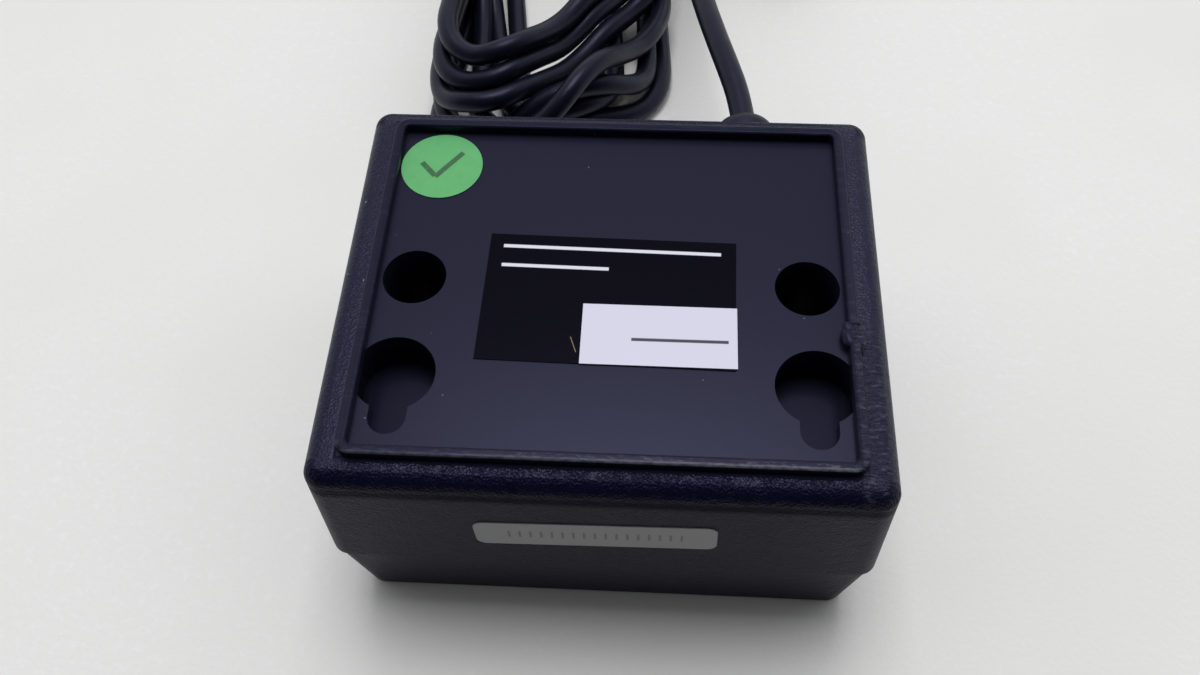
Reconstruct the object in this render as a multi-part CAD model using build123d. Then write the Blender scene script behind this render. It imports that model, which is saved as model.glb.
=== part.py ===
from build123d import *
import os
from math import cos, pi, radians, sin, tan

# Temperature sensor for an equipment rack, lying on its front face with its back up.
# +X is right and +Y is away from the viewer, towards the cord. z = 0 is the table.
# Two moulded shells meet at a parting line round the sides. All lengths are in millimetres.

# Case outside
rim_width = 62.6            # X size of the rear shell at its rear shoulder
rim_depth = 52.2            # Y size there
shoulder_z = 34.4           # front face to the rear shoulder
front_height = 14.9         # front face to the parting line
rear_draft = 2.5            # degrees that the rear shell widens towards the parting line
front_taper = 5.0           # degrees that the front shell narrows towards its face
part_step = 0.2             # front shell set in at the parting line
corner_radius = 2.2         # upright corners
rim_fillet = 2.0            # rolled edge round the rear shoulder
front_fillet = 1.0          # edge round the front face
wall = 2.0                  # both shells
root = 1.0                  # ribs, bosses and the lip start this deep in the wall that carries them
cut_past = 1.0              # holes are cut this far past the faces they open

# Recessed rear panel and the lip round it
side_ledge = 4.6            # rim's side to the recess
end_ledge = 4.0
recess_width = rim_width - 2 * side_ledge
recess_depth = rim_depth - 2 * end_ledge
recess_corner = 0.6
recess_sink = 1.4           # lip top down to the panel
lip_height = 1.3            # lip above the shoulder
lip_width = 1.2
lip_fillet = 0.3
panel_thickness = 2.0

# Tongue of the front shell inside a rebate of the rear shell
tongue_height = 1.6
tongue_thickness = 0.85
tongue_side_gap = 0.15
tongue_end_gap = 0.2

# Case screws in deep round wells
well_inset = 4.05           # well's middle to the recess's side
well_x = recess_width / 2 - well_inset
well_y = 0.0
well_radius = 3.7
well_wall = 1.5
well_floor_z = 17.0
well_floor_thickness = 1.5
case_screw_hole = 1.6
case_screw_radius = 1.45
case_screw_length = 10.5
case_head_radius = 2.8
case_head_height = 2.2
boss_radius = 3.4
boss_gap = 0.1              # boss top to the underside of the well
pilot_gap = 0.05            # screw to its pilot hole, on the radius
pilot_extra = 1.0           # pilot hole past the screw's end
cross_width = 0.3           # cross slot in a screw's head, of the head's radius
cross_length = 1.2          # its whole length, of the head's radius
cross_depth = 0.5           # its depth and the head's rounding, of the head's height
screw_point = 0.5           # chamfer at a screw's end, of its radius

# Keyholes for hanging, round end away from the viewer
key_inset_x = 3.6           # round end's middle to the recess's side and near end
key_inset_y = 9.25
key_x = recess_width / 2 - key_inset_x
key_y = -(recess_depth / 2 - key_inset_y)
key_radius = 4.6
key_slot_radius = 2.1
key_slot_travel = 5.35
key_floor_drop = 5.7        # panel down to the pocket's floor
key_floor_thickness = 1.2
key_pocket_extra = 0.1      # pocket wider than the round end, on the radius
key_pocket_wall = 1.2
key_pocket_round = 3.0

# Air slots in the front face, under the sensing element
slot_count = 6
slot_pitch = 3.2
slot_width = 1.6
slot_length = 12.0
slot_y = -13.0

# Circuit board on four standoffs
board_width = 36.0
board_depth = 42.0
board_thickness = 1.6
board_z = 7.0
board_corner = 1.0
board_hole_inset = 3.0      # screw hole to the board's edges
standoff_radius = 2.6
board_screw_radius = 0.95
board_screw_length = 5.0
board_head_radius = 1.9
board_head_height = 1.3
board_hole_gap = 0.2
board_pilot_extra = 0.5

# Parts on the board
sensor_y = slot_y
sensor_size = 5.0
sensor_height = 1.5
sensor_window = 1.6
sensor_window_depth = 0.75
sensor_edge = 0.3
chip_x, chip_y = -3.0, 0.5
chip_width = 7.5
chip_length = 10.3
chip_height = 2.3
chip_pins = 8               # a side
chip_pitch = 1.27
chip_edge = 0.4
chip_lift = 0.1             # moulded bodies stand this far off the board
chip_dimple = 0.5           # radius of the dimple at the first lead
chip_dimple_inset = 1.3     # from the body's end
chip_dimple_depth = 0.1
lead_width = 0.42
lead_reach = 1.4
lead_thickness = 0.25
lead_root = 0.1             # lead's end inside its body
can_inset = 7.5             # from the board's side
can_x = board_width / 2 - can_inset
can_y = -9.5
can_radius = 3.15
can_height = 7.7
can_base = 6.6
can_base_height = 1.0
can_base_corner = 0.8
can_round = 0.4
can_groove_rise = 2.0       # groove above the board
can_groove_height = 0.5
can_groove_depth = 0.2
crystal_x, crystal_y = -6.0, -10.5
crystal_length = 11.0
crystal_width = 4.6
crystal_height = 3.5
crystal_flange = 0.4
crystal_step = 0.38         # can set in from its flange
regulator_inset = 8.2       # from the board's side
regulator_x = board_width / 2 - regulator_inset
regulator_y = 3.0
regulator_size = (3.5, 6.5, 1.7)
regulator_edge = 0.35
regulator_pitch = 2.3
regulator_tab = 3.0
chip_part_size = (1.25, 2.0, 0.55)
chip_part_places = [(3.4, -3.5), (3.4, 0.0), (3.4, 3.5), (-10.5, -2.5), (-10.5, 1.0), (-10.5, 4.5)]
small_cap_size = (2.0, 1.25, 0.9)
end_cap = 0.3               # soldered end of a small part
end_cap_step = 0.08         # it stands above the body
small_cap_places = [(-6.5, 9.0), (-2.5, 9.0), (3.0, -14.0), (13.5, -1.8)]
header_x = 5.0
header_inset = 6.2          # from the board's far side
header_y = board_depth / 2 - header_inset
header_ways = 4
header_pitch = 2.5
header_end = 2.45           # last way to the header's end
header_depth = 5.75
header_height = 7.0
header_wall = 0.8
header_notch_width = 6.2
header_notch_depth = 3.5
plug_gap = 0.15             # wire plug to the header's wall
plug_stand = 1.6            # wire plug above the header's mouth
wire_plug_edge = 0.4

# Cord, its grip in the far wall, and the wires inside
cord_radius = 1.7
cord_bury = 1.0             # cord's ends inside the grip and the plug
corner_share = 0.45         # of a corner's shorter run, taken by its arc
grip_x = 17.0
grip_z = 24.3
grip_radius = 4.2
grip_length = 6.8           # outside the wall
grip_round = 2.2
grip_neck_radius = 3.0
grip_neck_gap = 0.1
grip_face_gap = 0.05
grip_inner_radius = 4.0
grip_inner_length = 2.0
wire_radius = 0.6
wire_spacing = 1.35
wire_run = 5.0              # straight out of the grip
wire_drop = 5.0             # straight down into the plug

# Loose hank of the cord, its outline drawn round three circles: centre x, y and radius
hank_ends = [(-24.0, 54.0, 9.9), (-5.6, 57.6, 13.0), (-13.0, 117.5, 20.0)]
hank_height = 18.6
hank_round = 5.0

# Plug at the cord's far end
plug_x = 27.2
plug_y = 94.0               # tip of the metal shell
plug_shell_radius = 4.73
plug_shell_bore = 4.4
plug_shell_length = 8.0
plug_shell_edge = 0.1
plug_grip_radius = 5.8
plug_grip_length = 19.0
plug_grip_round = 1.2
plug_tail_length = 11.0
plug_tail_root = 3.5        # radius where the tail leaves the grip
plug_tail_radius = 2.5
plug_core_setback = 6.2     # shell mouth to the core's face
plug_core_gap = 0.1
plug_pin_radius = 0.3
plug_pin_length = 5.2
plug_pin_ring = 3.0         # radius of the circle of outer pins
plug_ring_pins = 7
plug_first_pin = 120.0      # degrees round from +X
plug_pin_step = 50.0        # degrees between them
plug_pin_middle = 0.87      # eighth pin, below the middle
plug_key_width = 2.1
plug_key_height = 0.87
plug_socket = 3.0           # shell's tail held in the grip

# Stickers
sticker_thickness = 0.12
dot_radius = 5.05
dot_inset_x = 5.15          # middle to the recess's side and far end
dot_inset_y = 5.45
dot_x = dot_inset_x - recess_width / 2
dot_y = recess_depth / 2 - dot_inset_y
black_x, black_y = 0.04, -2.4
black_width, black_depth, black_turn = 28.9, 17.2, -1.0
white_x, white_y = 5.88, -7.1
white_width, white_depth, white_turn = 17.4, 7.85, -0.2
side_x, side_z = -0.5, 23.5
side_width, side_height, side_turn = 27.0, 5.5, 1.8
side_corner = 1.2

# Worked-out places
panel_z = shoulder_z + lip_height - recess_sink
ceiling_z = panel_z - panel_thickness
rear_height = shoulder_z - front_height
part_width = rim_width + 2 * rear_height * tan(radians(rear_draft))
part_depth = rim_depth + 2 * rear_height * tan(radians(rear_draft))
board_top = board_z + board_thickness
plug_mouth_z = board_top + header_height + plug_stand
plug_axis_z = plug_grip_radius

# Route of the cord from its grip to the hank, after the first point at the grip's end
lead_points = [
    (16.4, 38.6, 24.7),
    (15.0, 43.8, 25.0),
    (13.2, 50.4, 24.9),
    (11.4, 58.2, 24.4),
    (10.0, 67.0, 22.9),
    (9.4, 76.5, 20.2),
    (10.0, 86.0, 16.6),
    (11.0, 95.0, 12.6),
    (11.4, 103.5, 8.8),
    (10.6, 111.5, 5.9),
    (8.4, 119.0, 4.2),
    (4.6, 125.5, 3.6),
]
# Route of the tail from the hank to the plug, before the last point at the plug's end
tail_points = [
    (1.0, 118.0, 13.4),
    (1.5, 130.4, 12.2),
    (2.2, 141.2, 10.6),
    (9.5, 148.5, 7.8),
    (19.9, 148.5, 5.0),
    (27.2, 141.2, 4.4),
]


def rounded(width, depth, radius, z):
    return Plane.XY.offset(z) * RectangleRounded(width, depth, radius)


def tapered(width_low, depth_low, z_low, width_high, depth_high, z_high, radius):
    low = rounded(width_low, depth_low, radius, z_low)
    return loft([low, rounded(width_high, depth_high, radius, z_high)])


def upright(x, y, z, radius, height):
    return Pos(x, y, z) * Cylinder(radius, height, align=(Align.CENTER, Align.CENTER, Align.MIN))


def block(x, y, z, width, depth, height):
    return Pos(x, y, z) * Box(width, depth, height, align=(Align.CENTER, Align.CENTER, Align.MIN))


def rear_half_width(z):
    return rim_width / 2 + (shoulder_z - z) * tan(radians(rear_draft))


def rear_half_depth(z):
    return rim_depth / 2 + (shoulder_z - z) * tan(radians(rear_draft))


def front_inset(z):
    return part_step + (front_height - z) * tan(radians(front_taper))


def corner_radii(points):
    """Arc at each corner that takes up a set share of its shorter run."""
    radii = []
    for before, here, after in zip(points, points[1:], points[2:]):
        first = Vector(*here) - Vector(*before)
        second = Vector(*after) - Vector(*here)
        turn = radians(first.get_angle(second))
        radii.append(corner_share * min(first.length, second.length) / tan(turn / 2))
    return radii


def swept(points, radius, radii=None):
    """Round tube along straight runs joined by tangent arcs."""
    path = FilletPolyline(*points, radius=radii or corner_radii(points))
    start = Plane(origin=path @ 0, z_dir=path % 0)
    return sweep(start * Circle(radius), path=path), path


def key_profile(radius_round, radius_slot):
    """Keyhole outline on the XY plane, its round end at the origin and its slot towards -Y."""
    slot = Pos(0, -key_slot_travel / 2) * Rectangle(2 * radius_slot, key_slot_travel)
    return Circle(radius_round) + slot + Pos(0, -key_slot_travel) * Circle(radius_slot)


def key_pocket(side):
    """Moulded walls and floor of the pocket behind one keyhole."""
    reach = key_radius + key_pocket_extra + key_pocket_wall
    low_z = panel_z - key_floor_drop - key_floor_thickness
    inner_x = key_x - reach
    outer_x = rear_half_width(low_z) - root
    far_y = key_y + reach
    near_y = -rear_half_depth(low_z) + root
    walls = block((inner_x + outer_x) / 2, (near_y + far_y) / 2, low_z, outer_x - inner_x, far_y - near_y,
                  ceiling_z - low_z)
    inner_edge = walls.edges().filter_by(Axis.Z).group_by(Axis.X)[0].sort_by(Axis.Y)[-1]
    walls = fillet(inner_edge, key_pocket_round)
    return walls if side > 0 else mirror(walls, Plane.YZ)


def key_cut(side):
    """Keyhole through the panel, and the wider space behind it where a screw's head slides."""
    at_panel = Plane.XY.offset(ceiling_z) * Pos(side * key_x, key_y)
    through = extrude(at_panel * key_profile(key_radius, key_slot_radius), panel_thickness)
    wide = key_radius + key_pocket_extra
    floor_z = panel_z - key_floor_drop
    at_floor = Plane.XY.offset(floor_z) * Pos(side * key_x, key_y)
    behind = extrude(at_floor * key_profile(wide, wide), ceiling_z - floor_z)
    return through + behind


def grip_plane():
    """Origin on the far wall's outside where the cord leaves, z_dir square to the drafted wall."""
    out = Vector(0, cos(radians(rear_draft)), sin(radians(rear_draft)))
    return Plane(origin=(grip_x, rear_half_depth(grip_z), grip_z), x_dir=(1, 0, 0), z_dir=out)


def grip_point(across, out):
    return tuple((grip_plane() * Pos(across, 0, out)).position)


def rear_shell():
    shell = tapered(part_width, part_depth, front_height, rim_width, rim_depth, shoulder_z, corner_radius)
    shell = fillet(shell.edges().group_by(Axis.Z)[-1], rim_fillet)
    lip = extrude(rounded(recess_width + 2 * lip_width, recess_depth + 2 * lip_width,
                          recess_corner + lip_width, shoulder_z - root), lip_height + root)
    shell += lip
    shell -= extrude(rounded(recess_width, recess_depth, recess_corner, panel_z), recess_sink)
    shell = fillet(shell.edges().group_by(Axis.Z)[-1], lip_fillet)
    inner_corner = max(corner_radius - wall, recess_corner)
    cavity = tapered(part_width - 2 * wall, part_depth - 2 * wall, front_height,
                     2 * (rear_half_width(ceiling_z) - wall), 2 * (rear_half_depth(ceiling_z) - wall),
                     ceiling_z, inner_corner)
    shell -= cavity
    rebate = tongue_thickness + tongue_side_gap
    shell -= extrude(rounded(part_width - 2 * wall + 2 * rebate, part_depth - 2 * wall + 2 * rebate,
                             inner_corner + rebate, front_height), tongue_height + tongue_end_gap)
    well_low = well_floor_z - well_floor_thickness
    for side in (-1, 1):
        shell += upright(side * well_x, well_y, well_low, well_radius + well_wall, ceiling_z - well_low)
        shell += key_pocket(side)
    for side in (-1, 1):
        shell -= upright(side * well_x, well_y, well_floor_z, well_radius, panel_z - well_floor_z)
        shell -= upright(side * well_x, well_y, well_low, case_screw_hole, well_floor_thickness)
        shell -= key_cut(side)
    hole = grip_plane() * Cylinder(grip_neck_radius + grip_neck_gap, 2 * (wall + cut_past))
    return shell - hole


def front_shell():
    face_width = part_width - 2 * front_inset(0)
    face_depth = part_depth - 2 * front_inset(0)
    top_width = part_width - 2 * part_step
    top_depth = part_depth - 2 * part_step
    shell = tapered(face_width, face_depth, 0, top_width, top_depth, front_height, corner_radius)
    shell = fillet(shell.edges().group_by(Axis.Z)[0], front_fillet)
    inner_corner = max(corner_radius - wall, recess_corner)
    floor_inset = front_inset(wall) + wall
    shell -= tapered(part_width - 2 * floor_inset, part_depth - 2 * floor_inset, wall,
                     top_width - 2 * wall, top_depth - 2 * wall, front_height, inner_corner)
    tongue_low = front_height - tongue_height
    width, depth = part_width - 2 * wall, part_depth - 2 * wall
    inner = rounded(width, depth, inner_corner, tongue_low)
    outer = rounded(width + 2 * tongue_thickness, depth + 2 * tongue_thickness,
                    inner_corner + tongue_thickness, tongue_low)
    tongue = extrude(outer - inner, 2 * tongue_height)
    shell += tongue
    boss_top = well_floor_z - well_floor_thickness - boss_gap
    for side in (-1, 1):
        shell += upright(side * well_x, well_y, wall - root, boss_radius, boss_top - wall + root)
        pilot_low = well_floor_z - case_screw_length - pilot_extra
        shell -= upright(side * well_x, well_y, pilot_low, case_screw_radius + pilot_gap,
                         boss_top - pilot_low)
    for x, y in standoff_places():
        shell += upright(x, y, wall - root, standoff_radius, board_z - wall + root)
        pilot_low = board_top - board_screw_length - board_pilot_extra
        shell -= upright(x, y, pilot_low, board_screw_radius + pilot_gap, board_z - pilot_low)
    for n in range(slot_count):
        x = (n - (slot_count - 1) / 2) * slot_pitch
        shell -= extrude(Pos(x, slot_y) * SlotOverall(slot_length, slot_width, rotation=90), wall)
    return shell


def standoff_places():
    x = board_width / 2 - board_hole_inset
    y = board_depth / 2 - board_hole_inset
    return [(sx * x, sy * y) for sx in (-1, 1) for sy in (-1, 1)]


def cross_screw(x, y, seat_z, radius, length, head_radius, head_height):
    """Pan-head screw with its head up and a cross cut in it, the shank down from seat_z."""
    head = upright(x, y, seat_z, head_radius, head_height)
    head = fillet(head.edges().group_by(Axis.Z)[-1], head_height * cross_depth)
    shank = upright(x, y, seat_z - length, radius, length)
    shank = chamfer(shank.edges().group_by(Axis.Z)[0], radius * screw_point)
    narrow, long = head_radius * cross_width, head_radius * cross_length
    low = seat_z + head_height * (1 - cross_depth)
    cross = block(x, y, low, long, narrow, head_height) + block(x, y, low, narrow, long, head_height)
    return head + shank - cross


def case_screws():
    return [cross_screw(side * well_x, well_y, well_floor_z, case_screw_radius, case_screw_length,
                        case_head_radius, case_head_height) for side in (-1, 1)]


def board_screws():
    return [cross_screw(x, y, board_top, board_screw_radius, board_screw_length, board_head_radius,
                        board_head_height) for x, y in standoff_places()]


def circuit_board():
    board = extrude(rounded(board_width, board_depth, board_corner, board_z), board_thickness)
    for x, y in standoff_places():
        board -= upright(x, y, board_z, board_screw_radius + board_hole_gap, board_thickness)
    return board


def sensor_element():
    """Small white chip under the board, its window facing the air slots."""
    body = block(0, sensor_y, board_z - sensor_height, sensor_size, sensor_size, sensor_height)
    body = chamfer(body.edges().group_by(Axis.Z)[0], sensor_edge)
    return body - upright(0, sensor_y, board_z - sensor_height, sensor_window, sensor_window_depth)


def gull_lead(x, y, reach, height):
    """One bent lead that starts at x, y on a chip's side and reaches along X to a foot on the board."""
    way = 1 if reach > 0 else -1
    t = lead_thickness
    top = block(x + reach / 4, y, board_top + height - t, abs(reach) / 2, lead_width, t)
    leg = block(x + reach / 2 - way * t / 2, y, board_top, t, lead_width, height)
    foot = block(x + reach * 3 / 4 - way * t / 2, y, board_top, abs(reach) / 2 + t, lead_width, t)
    return top + leg + foot


def microcontroller():
    body = block(chip_x, chip_y, board_top + chip_lift, chip_width, chip_length, chip_height)
    body = chamfer(body.edges().filter_by(Axis.Y), chip_edge)
    top = board_top + chip_lift + chip_height
    body -= upright(chip_x - chip_width / 4, chip_y + chip_length / 2 - chip_dimple_inset,
                    top - chip_dimple_depth, chip_dimple, chip_dimple_depth)
    for n in range(chip_pins):
        y = chip_y + (n - (chip_pins - 1) / 2) * chip_pitch
        for side in (-1, 1):
            body += gull_lead(chip_x + side * (chip_width / 2 - lead_root), y, side * lead_reach,
                              chip_height / 2)
    return body


def capacitor():
    base = block(can_x, can_y, board_top, can_base, can_base, can_base_height)
    base = chamfer(base.edges().filter_by(Axis.Z).group_by(Axis.X)[0], can_base_corner)
    can = upright(can_x, can_y, board_top + can_base_height, can_radius, can_height - can_base_height)
    can = fillet(can.edges().group_by(Axis.Z)[-1], can_round)
    groove_z = board_top + can_groove_rise
    ring = upright(can_x, can_y, groove_z, can_radius, can_groove_height)
    ring -= upright(can_x, can_y, groove_z, can_radius - can_groove_depth, can_groove_height)
    return base + can - ring


def crystal():
    flange = extrude(Plane.XY.offset(board_top) * Pos(crystal_x, crystal_y)
                     * SlotOverall(crystal_length, crystal_width), crystal_flange)
    can = extrude(Plane.XY.offset(board_top) * Pos(crystal_x, crystal_y)
                  * SlotOverall(crystal_length - 2 * crystal_step, crystal_width - 2 * crystal_step),
                  crystal_height)
    can = fillet(can.edges().group_by(Axis.Z)[-1], can_round)
    return flange + can


def regulator():
    width, length, height = regulator_size
    body = block(regulator_x, regulator_y, board_top + chip_lift, width, length, height)
    body = chamfer(body.edges().filter_by(Axis.Y).group_by(Axis.Z)[-1], regulator_edge)
    for n in (-1, 0, 1):
        body += gull_lead(regulator_x - width / 2 + lead_root, regulator_y + n * regulator_pitch,
                          -lead_reach, height / 2)
    tab = block(regulator_x + width / 2 + lead_reach / 2 - lead_root, regulator_y, board_top, lead_reach,
                regulator_tab, chip_lift + lead_thickness)
    return body + tab


def chip_parts(places, size):
    """Plain surface-mounted pieces with a step at each soldered end."""
    width, depth, height = size
    pieces = []
    for x, y in places:
        body = block(x, y, board_top, width, depth, height - end_cap_step)
        end = end_cap
        if depth > width:
            caps = [block(x, y + s * (depth - end) / 2, board_top, width, end, height) for s in (-1, 1)]
        else:
            caps = [block(x + s * (width - end) / 2, y, board_top, end, depth, height) for s in (-1, 1)]
        pieces.append(body + caps[0] + caps[1])
    return pieces


def header_length():
    return (header_ways - 1) * header_pitch + 2 * header_end


def way_places():
    return [header_x + (n - (header_ways - 1) / 2) * header_pitch for n in range(header_ways)]


def wire_header():
    """Open-topped shrouded header."""
    body = block(header_x, header_y, board_top, header_length(), header_depth, header_height)
    body -= block(header_x, header_y, board_top + header_wall, header_length() - 2 * header_wall,
                  header_depth - 2 * header_wall, header_height)
    notch_low = board_top + header_height - header_notch_depth
    return body - block(header_x, header_y - header_depth / 2, notch_low, header_notch_width,
                        2 * header_wall + cut_past, header_notch_depth)


def wire_plug():
    """Housing on the wires, pushed into the header."""
    low = board_top + header_wall + plug_gap
    body = block(header_x, header_y, low, header_length() - 2 * (header_wall + plug_gap),
                 header_depth - 2 * (header_wall + plug_gap), plug_mouth_z - low)
    return chamfer(body.edges().group_by(Axis.Z)[-1], wire_plug_edge)


def board_wires():
    """Four insulated wires from the grip's inner end down to the wire plug."""
    inner = wall + grip_face_gap + grip_inner_length
    wires = []
    for n, x in enumerate(way_places()):
        across = (n - (header_ways - 1) / 2) * wire_spacing
        points = [
            grip_point(across, -inner),
            grip_point(across, -inner - wire_run),
            (x, header_y, plug_mouth_z + wire_drop),
            (x, header_y, plug_mouth_z),
        ]
        wires.append(swept(points, wire_radius)[0])
    return wires


def cord_grip():
    """Moulded strain relief, snapped into the far wall: flange outside, neck, flange inside."""
    at = grip_plane()
    dome = Cylinder(grip_radius, grip_length, align=(Align.CENTER, Align.CENTER, Align.MIN))
    dome = fillet(dome.edges().group_by(Axis.Z)[-1], grip_round)
    inner_low = -(wall + grip_face_gap + grip_inner_length)
    neck = upright(0, 0, inner_low, grip_neck_radius, grip_face_gap - inner_low)
    flange = upright(0, 0, inner_low, grip_inner_radius, grip_inner_length)
    return at * (Pos(0, 0, grip_face_gap) * dome + neck + flange)


def lead_start():
    return grip_point(0, grip_face_gap + grip_length - cord_bury)


def cord_hank():
    """Outer shape of the loose hank."""
    ends = Sketch() + [Pos(x, y) * Circle(radius) for x, y, radius in hank_ends]
    body = extrude(make_hull(ends.edges()), hank_height)
    return fillet(body.edges().group_by(Axis.Z)[-1], hank_round)


def plug_parts():
    """Round connector lying on the table, its mouth towards the case."""
    along = Plane(origin=(plug_x, plug_y, plug_axis_z), x_dir=(1, 0, 0), z_dir=(0, 1, 0))
    shell = upright(0, 0, 0, plug_shell_radius, plug_shell_length + plug_socket)
    shell = fillet(shell.edges().group_by(Axis.Z)[0], plug_shell_edge)
    shell -= upright(0, 0, 0, plug_shell_bore, plug_shell_length + plug_socket)
    core_length = plug_shell_length + plug_socket - plug_core_setback
    core = upright(0, 0, plug_core_setback, plug_shell_bore - plug_core_gap, core_length)
    pin_low = plug_core_setback - plug_pin_length
    core += block(0, plug_key_height, pin_low, plug_key_width, plug_key_height, plug_pin_length)
    turns = [radians(plug_first_pin + n * plug_pin_step) for n in range(plug_ring_pins)]
    places = [(plug_pin_ring * cos(turn), plug_pin_ring * sin(turn)) for turn in turns]
    places.append((0, -plug_pin_middle))
    pins = [upright(x, y, pin_low, plug_pin_radius, plug_pin_length) for x, y in places]
    grip = upright(0, 0, plug_shell_length, plug_grip_radius, plug_grip_length)
    grip = fillet(grip.edges(), plug_grip_round)
    grip -= upright(0, 0, plug_shell_length, plug_shell_radius, plug_socket)
    tail_z = plug_shell_length + plug_grip_length
    tail = loft([Plane.XY.offset(tail_z - plug_grip_round) * Circle(plug_tail_root),
                 Plane.XY.offset(tail_z + plug_tail_length) * Circle(plug_tail_radius)])
    grip += tail
    return along, shell, core, pins, grip


def tail_end():
    length = plug_shell_length + plug_grip_length + plug_tail_length
    return (plug_x, plug_y + length - cord_bury, plug_axis_z)


def cord(hank, cord_end, plug):
    """Free stretches of the cord: the lead from the grip to the hank, and the tail to the plug."""
    routes = {"lead": [lead_start()] + lead_points, "tail": tail_points + [tail_end()]}
    stretches = []
    for name, points in routes.items():
        solid, path = swept(points, cord_radius)
        report_cord(name, points, solid, path)
        stretches.append(solid - hank - cord_end - plug)
    return stretches


def report_cord(name, points, solid, path):
    radii = corner_radii(points)
    expected = pi * cord_radius ** 2 * path.length
    print(name, "length", round(path.length, 1), "radii", [round(r, 1) for r in radii],
          "volume ratio", round(solid.volume / expected, 4))


def flat_sticker(face, x, y, z, turn):
    return Pos(x, y, z) * Rot(0, 0, turn) * extrude(face, sticker_thickness)


def side_sticker():
    """Label on the near wall, tilted with the wall's draft."""
    out = Vector(0, -cos(radians(rear_draft)), sin(radians(rear_draft)))
    at = Plane(origin=(side_x, -rear_half_depth(side_z), side_z), x_dir=(1, 0, 0), z_dir=out)
    face = Rot(0, 0, side_turn) * RectangleRounded(side_width, side_height, side_corner)
    return extrude(at * face, sticker_thickness)


def compound(solids):
    return Compound(children=list(solids))


def main():
    os.makedirs("parts", exist_ok=True)
    along, shell, core, pins, moulding = plug_parts()
    hank = cord_hank()
    grip = cord_grip()
    plug_moulding = along * moulding
    nodes = {
        "rear_shell": rear_shell(),
        "front_shell": front_shell(),
        "case_screws": compound(case_screws()),
        "circuit_board": circuit_board(),
        "board_screws": compound(board_screws()),
        "sensor_element": sensor_element(),
        "microcontroller": microcontroller(),
        "capacitor": capacitor(),
        "crystal": crystal(),
        "regulator": regulator(),
        "resistors": compound(chip_parts(chip_part_places, chip_part_size)),
        "small_capacitors": compound(chip_parts(small_cap_places, small_cap_size)),
        "wire_header": wire_header(),
        "wire_plug": wire_plug(),
        "board_wires": compound(board_wires()),
        "cord_grip": grip,
        "cord": compound(cord(hank, grip, plug_moulding)),
        "cord_hank": hank,
        "plug_shell": along * shell,
        "plug_core": along * core,
        "plug_pins": compound([along * pin for pin in pins]),
        "plug_grip": plug_moulding,
        "round_sticker": flat_sticker(Circle(dot_radius), dot_x, dot_y, panel_z, 0),
        "black_label": flat_sticker(Rectangle(black_width, black_depth), black_x, black_y, panel_z,
                                    black_turn),
        "white_label": flat_sticker(Rectangle(white_width, white_depth), white_x, white_y,
                                    panel_z + sticker_thickness, white_turn),
        "side_label": side_sticker(),
    }
    for name, solid in nodes.items():
        export_step(solid, f"parts/{name}.step")


main()
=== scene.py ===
import random
from math import acos, atan2, cos, hypot, radians, sin, tau

import bmesh
import bpy
import mathutils
import numpy as np
from mathutils import Matrix, Vector


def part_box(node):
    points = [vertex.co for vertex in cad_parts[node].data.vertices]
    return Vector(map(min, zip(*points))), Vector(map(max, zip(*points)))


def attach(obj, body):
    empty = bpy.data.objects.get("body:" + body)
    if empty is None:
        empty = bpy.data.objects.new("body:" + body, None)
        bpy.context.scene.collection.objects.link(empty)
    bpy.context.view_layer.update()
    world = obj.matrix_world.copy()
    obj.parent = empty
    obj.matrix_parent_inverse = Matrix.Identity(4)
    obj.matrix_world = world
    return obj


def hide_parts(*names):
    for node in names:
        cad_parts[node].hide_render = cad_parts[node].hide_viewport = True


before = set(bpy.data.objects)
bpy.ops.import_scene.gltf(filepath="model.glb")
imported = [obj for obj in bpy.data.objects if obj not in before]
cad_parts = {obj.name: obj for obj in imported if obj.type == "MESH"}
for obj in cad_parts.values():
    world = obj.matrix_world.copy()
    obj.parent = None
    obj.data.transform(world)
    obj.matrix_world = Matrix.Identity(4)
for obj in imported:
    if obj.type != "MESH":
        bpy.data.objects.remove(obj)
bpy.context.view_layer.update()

# The view: a camera 14 cm above the table and 4 cm in front of the sensor, which lies on its front face with
# its back up. It looks down on the back at 59 degrees, a little from the right and slightly out of level.
camera_place = Vector((0.00461, -0.06892, 0.13590))
camera_elevation = radians(58.73)
camera_azimuth = radians(4.93)
camera_roll = radians(-2.35)
camera_lens = 31.95         # millimetres, as is the width of the film
camera_film = 36
nearest_seen = 0.005

backward = Vector((sin(camera_azimuth) * cos(camera_elevation), -cos(camera_azimuth) * cos(camera_elevation),
                   sin(camera_elevation)))
level_right = backward.cross(Vector((0, 0, -1))).normalized()
level_up = level_right.cross(-backward)
rolled_right = cos(camera_roll) * level_right + sin(camera_roll) * level_up
rolled_up = -sin(camera_roll) * level_right + cos(camera_roll) * level_up
camera_axes = Matrix((rolled_right, rolled_up, backward)).transposed()
camera = bpy.data.objects.new("camera", bpy.data.cameras.new("camera"))
camera.data.lens = camera_lens
camera.data.sensor_width = camera_film
camera.data.clip_start = nearest_seen
camera.matrix_world = Matrix.Translation(camera_place) @ camera_axes.to_4x4()
bpy.context.collection.objects.link(camera)
bpy.context.scene.camera = camera
bpy.context.scene.view_settings.view_transform = "Standard"

# The table and the light: a pale matt board whose near edge is just out of the view, a square ceiling lamp
# over the sensor's far side, and a plain room that is bright beyond the table and dark on the viewer's side.
table_size = 4.0
table_near = -0.085
table_height = -0.00002     # a hair below the case's face, so that the two never share a place
table_colour = (0.800, 0.797, 0.784)
fleck_colour = (0.825, 0.825, 0.815)
cloud_colour = (0.780, 0.777, 0.762)
lamp_size = 0.45
lamp_place = Vector((0.00, 0.22, 1.00))
lamp_watts = 5.3
room_colour = (0.97, 0.98, 1.0)
room_light = 0.98
viewer_light = 0.09
viewer_direction = Vector((0.0, -0.96, 0.28))
dusk_starts, dusk_ends = -0.08, 0.52        # cosines of the angle to the viewer's direction


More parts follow.
